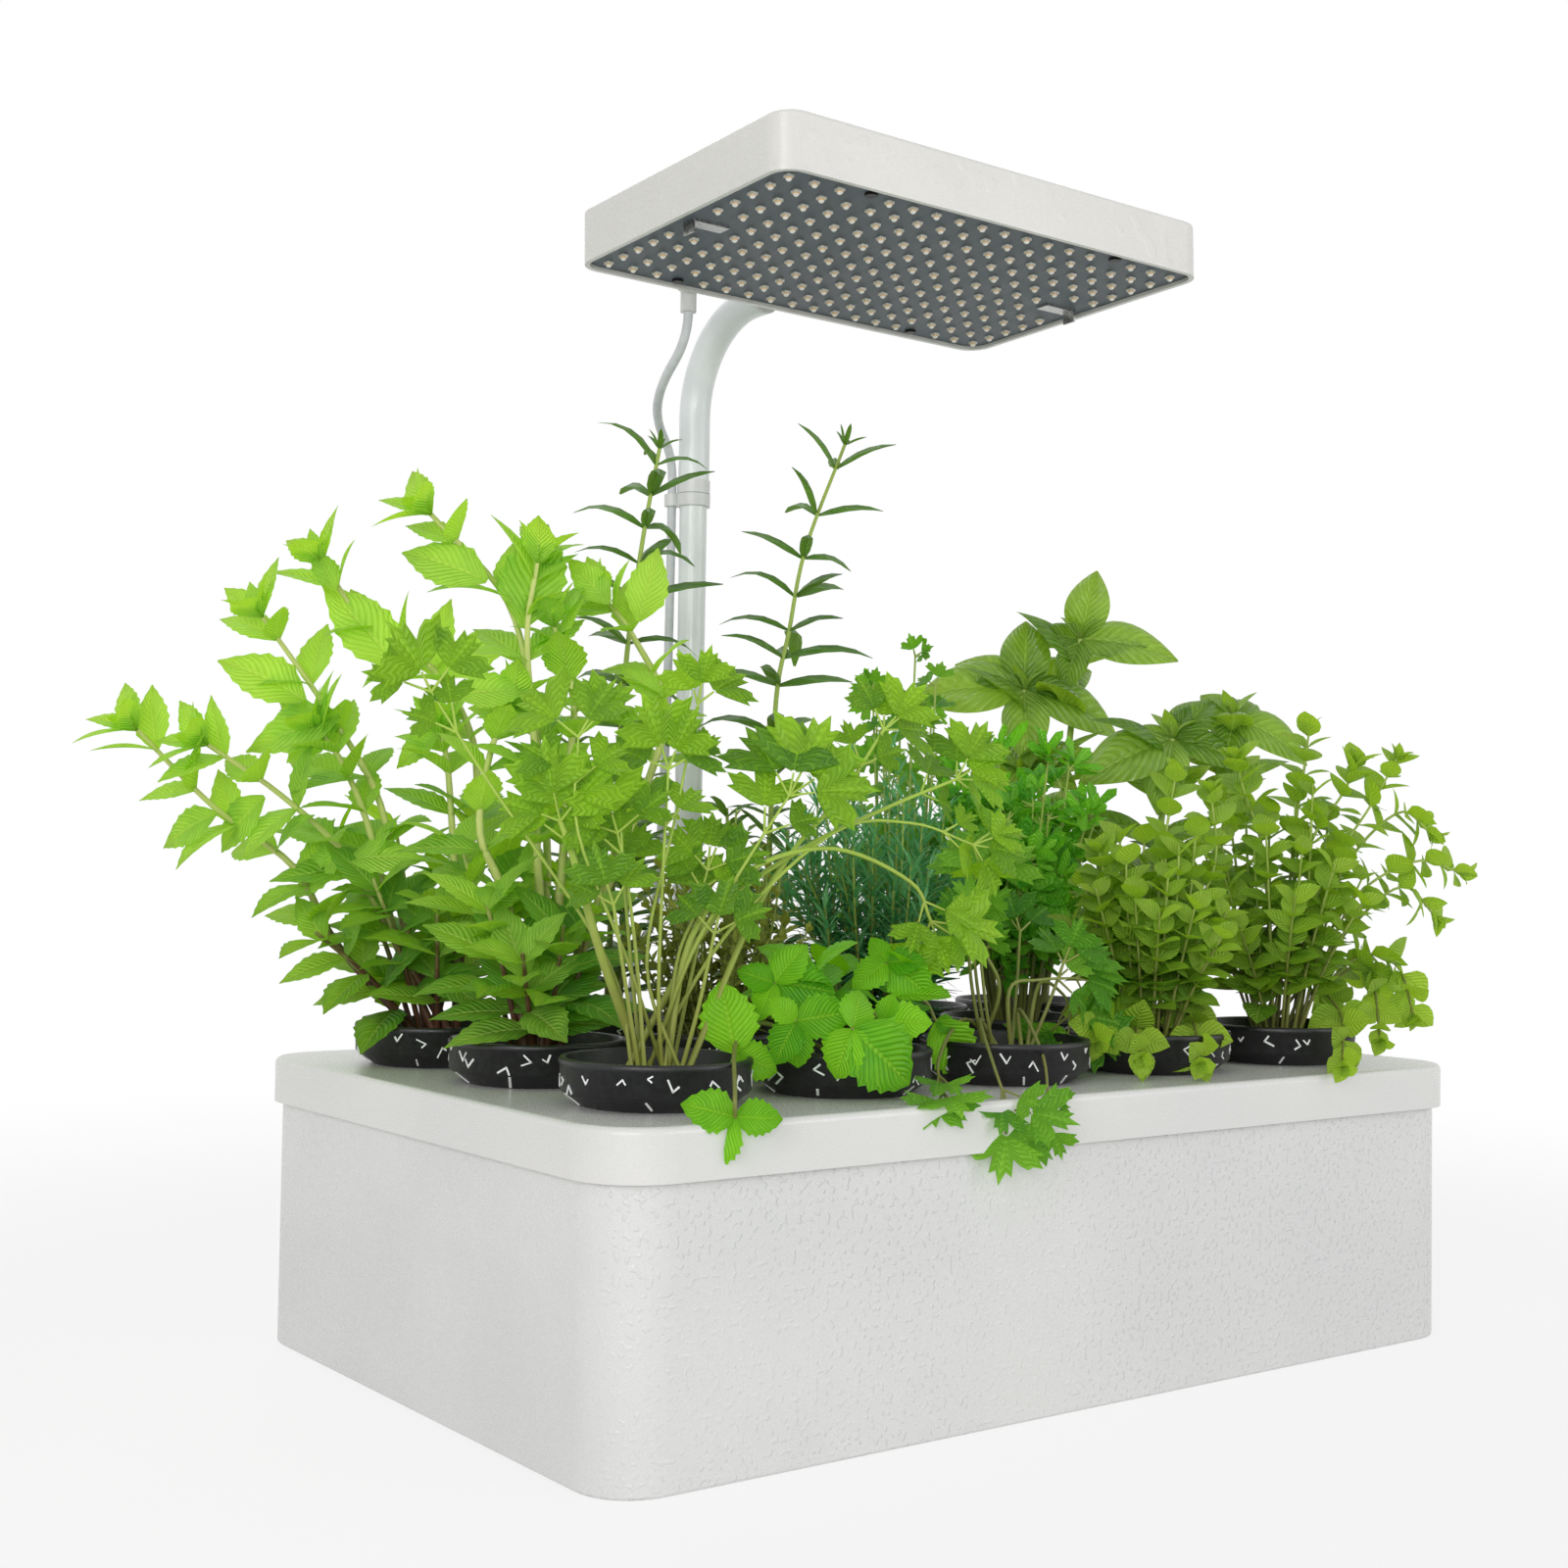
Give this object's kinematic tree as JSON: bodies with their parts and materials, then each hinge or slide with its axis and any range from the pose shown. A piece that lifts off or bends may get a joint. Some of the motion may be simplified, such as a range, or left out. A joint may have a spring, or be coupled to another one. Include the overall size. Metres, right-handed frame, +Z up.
{
  "type": "propagation station",
  "caption": "Tabletop propagation station: a lidded water tank with lift-out net cups of rooted herbs under a tilting lamp on a swivelling pole.",
  "frame": {"origin": "middle of the tank's underside, on the table", "axes": "+Z up, +X along the tank to the right as seen from the front, +Y towards the pole at the back"},
  "size_m": [0.57, 0.2959, 0.4886],
  "materials": {
    "tank_white": "moulded white plastic with an orange-peel surface",
    "lid_white": "smooth glossy white plastic",
    "white_plastic": "smooth white plastic",
    "white_tube": "white gloss paint on tube",
    "lamp_white": "glossy white plastic",
    "board": "dark slate solder mask, glossy",
    "led": "white package with yellow phosphor",
    "dark_steel": "blackened screws",
    "bright_steel": "plain steel",
    "cable_grey": "satin grey-white cable sheath",
    "rubber_grey": "soft grey rubber",
    "black_plastic": "matte black plastic",
    "cup_black": "satin black plastic",
    "light_leaf": "living leaf, satin",
    "mid_leaf": "living leaf, matte",
    "dark_leaf": "living leaf, satin"
  },
  "bodies": {
    "tank": {"tank": "tank_white", "pump_body": "black_plastic", "pump_guard": "black_plastic", "pump_outlet": "black_plastic"},
    "lid": {"lid": "lid_white", "pole_socket": "white_plastic", "pole_socket_screws": "bright_steel", "lower_pole": "white_tube", "pole_collar": "white_plastic", "cable_clips": "white_plastic", "cable_lower": "cable_grey", "lid_grommet": "rubber_grey", "power_inlet": "black_plastic", "driver_box": "black_plastic"},
    "arm": {"upper_arm": "white_tube", "arm_end": "white_plastic", "cable_upper": "cable_grey"},
    "lamp": {"lamp_housing": "lamp_white", "led_board": "board", "led_chips": "led", "board_screws": "dark_steel", "board_clips": "bright_steel", "lamp_bracket": "white_plastic", "tilt_pin": "bright_steel", "cable_gland": "white_plastic"},
    "knob": {"tilt_knob": "white_plastic"},
    "cup_1_1": {"net_cup_1_1": "cup_black", "parsley_1": "light_leaf"},
    "cup_1_2": {"net_cup_1_2": "cup_black", "lemon_balm_1": "light_leaf"},
    "cup_1_3": {"net_cup_1_3": "cup_black", "coriander_1": "light_leaf"},
    "cup_1_4": {"net_cup_1_4": "cup_black", "oregano_1": "mid_leaf"},
    "cup_1_5": {"net_cup_1_5": "cup_black", "oregano_2": "mid_leaf"},
    "cup_2_1": {"net_cup_2_1": "cup_black", "mint_1": "dark_leaf"},
    "cup_2_2": {"net_cup_2_2": "cup_black", "thyme_1": "mid_leaf"},
    "cup_2_3": {"net_cup_2_3": "cup_black", "savory_1": "mid_leaf"},
    "cup_2_4": {"net_cup_2_4": "cup_black", "parsley_2": "light_leaf"},
    "cup_2_5": {"net_cup_2_5": "cup_black", "basil_1": "light_leaf"},
    "cup_3_1": {"net_cup_3_1": "cup_black", "mint_2": "dark_leaf"},
    "cup_3_2": {"net_cup_3_2": "cup_black", "rosemary_1": "dark_leaf"},
    "cup_3_3": {"net_cup_3_3": "cup_black", "rosemary_2": "dark_leaf"},
    "cup_3_4": {"net_cup_3_4": "cup_black", "coriander_2": "light_leaf"},
    "cup_3_5": {"net_cup_3_5": "cup_black", "basil_2": "light_leaf"}
  },
  "joints": [
    {"name": "lid_lift", "type": "slide", "parent": "tank", "child": "lid", "axis": [0, 0, 1], "range_m": [0, 0.06]},
    {"name": "arm_swivel", "type": "hinge", "parent": "lid", "child": "arm", "pos_m": [-0.014, 0.128, 0.3932], "axis": [0, 0, 1], "range_deg": [-40, 40], "deforming": ["cable_upper"]},
    {"name": "lamp_tilt", "type": "hinge", "parent": "arm", "child": "lamp", "pos_m": [-0.014, 0.0615, 0.4722], "axis": [1, 0, 0], "range_deg": [-15, 15], "deforming": ["cable_upper"]},
    {"name": "knob_turn", "type": "hinge", "parent": "lamp", "child": "knob", "pos_m": [-0.014, 0.0615, 0.4722], "axis": [1, 0, 0], "range_deg": [-90, 90]},
    {"name": "cup_1_1_lift", "type": "slide", "parent": "lid", "child": "cup_1_1", "axis": [0, 0, 1], "range_m": [0, 0.04]},
    {"name": "cup_1_2_lift", "type": "slide", "parent": "lid", "child": "cup_1_2", "axis": [0, 0, 1], "range_m": [0, 0.04]},
    {"name": "cup_1_3_lift", "type": "slide", "parent": "lid", "child": "cup_1_3", "axis": [0, 0, 1], "range_m": [0, 0.04]},
    {"name": "cup_1_4_lift", "type": "slide", "parent": "lid", "child": "cup_1_4", "axis": [0, 0, 1], "range_m": [0, 0.04]},
    {"name": "cup_1_5_lift", "type": "slide", "parent": "lid", "child": "cup_1_5", "axis": [0, 0, 1], "range_m": [0, 0.04]},
    {"name": "cup_2_1_lift", "type": "slide", "parent": "lid", "child": "cup_2_1", "axis": [0, 0, 1], "range_m": [0, 0.04]},
    {"name": "cup_2_2_lift", "type": "slide", "parent": "lid", "child": "cup_2_2", "axis": [0, 0, 1], "range_m": [0, 0.04]},
    {"name": "cup_2_3_lift", "type": "slide", "parent": "lid", "child": "cup_2_3", "axis": [0, 0, 1], "range_m": [0, 0.04]},
    {"name": "cup_2_4_lift", "type": "slide", "parent": "lid", "child": "cup_2_4", "axis": [0, 0, 1], "range_m": [0, 0.04]},
    {"name": "cup_2_5_lift", "type": "slide", "parent": "lid", "child": "cup_2_5", "axis": [0, 0, 1], "range_m": [0, 0.04]},
    {"name": "cup_3_1_lift", "type": "slide", "parent": "lid", "child": "cup_3_1", "axis": [0, 0, 1], "range_m": [0, 0.04]},
    {"name": "cup_3_2_lift", "type": "slide", "parent": "lid", "child": "cup_3_2", "axis": [0, 0, 1], "range_m": [0, 0.04]},
    {"name": "cup_3_3_lift", "type": "slide", "parent": "lid", "child": "cup_3_3", "axis": [0, 0, 1], "range_m": [0, 0.04]},
    {"name": "cup_3_4_lift", "type": "slide", "parent": "lid", "child": "cup_3_4", "axis": [0, 0, 1], "range_m": [0, 0.04]},
    {"name": "cup_3_5_lift", "type": "slide", "parent": "lid", "child": "cup_3_5", "axis": [0, 0, 1], "range_m": [0, 0.04]}
  ]
}
